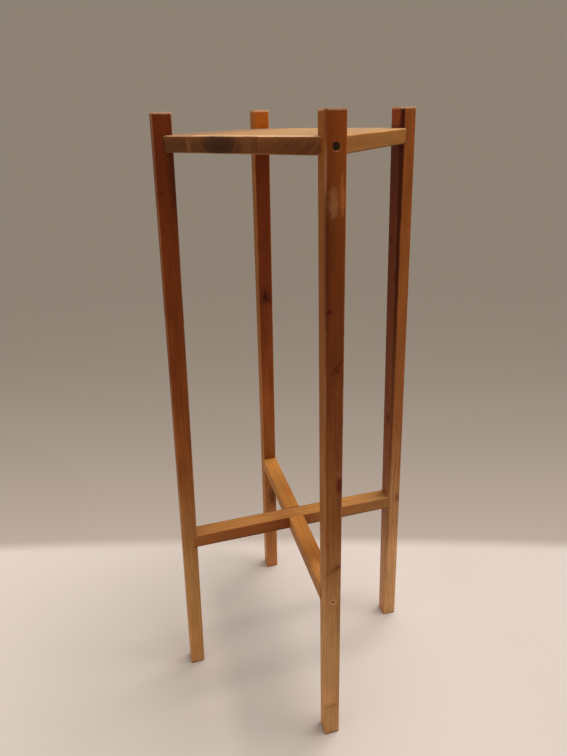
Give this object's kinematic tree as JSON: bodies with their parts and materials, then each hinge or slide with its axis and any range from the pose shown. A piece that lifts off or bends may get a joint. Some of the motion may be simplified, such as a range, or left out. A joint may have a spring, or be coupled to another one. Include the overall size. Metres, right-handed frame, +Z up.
{
  "type": "plant stand",
  "caption": "Tall wooden plant stand: a small square board let into outward-leaning square legs, braced by crossed stretchers joined in a half lap.",
  "frame": {"origin": "on the floor, at the middle of the stand's box", "axes": "+Z up, front leg towards -Y, right leg towards +X; the legs stand on the X and Y axes and the board is turned 45 degrees between them"},
  "size_m": [0.4278, 0.4278, 0.96],
  "materials": {
    "leg_wood": "stained hardwood under a satin lacquer",
    "board_wood": "paler hardwood under a satin lacquer, dark end grain",
    "stretcher_wood": "stained hardwood under a satin lacquer",
    "screw_steel": "zinc-plated steel"
  },
  "bodies": {
    "root": {"leg_front": "leg_wood", "leg_right": "leg_wood", "leg_back": "leg_wood", "leg_left": "leg_wood", "board_front_stave": "board_wood", "board_middle_stave": "board_wood", "board_back_stave": "board_wood", "stretcher_left_right": "stretcher_wood", "stretcher_front_back": "stretcher_wood", "board_screws": "screw_steel", "stretcher_screws": "screw_steel"}
  },
  "joints": []
}
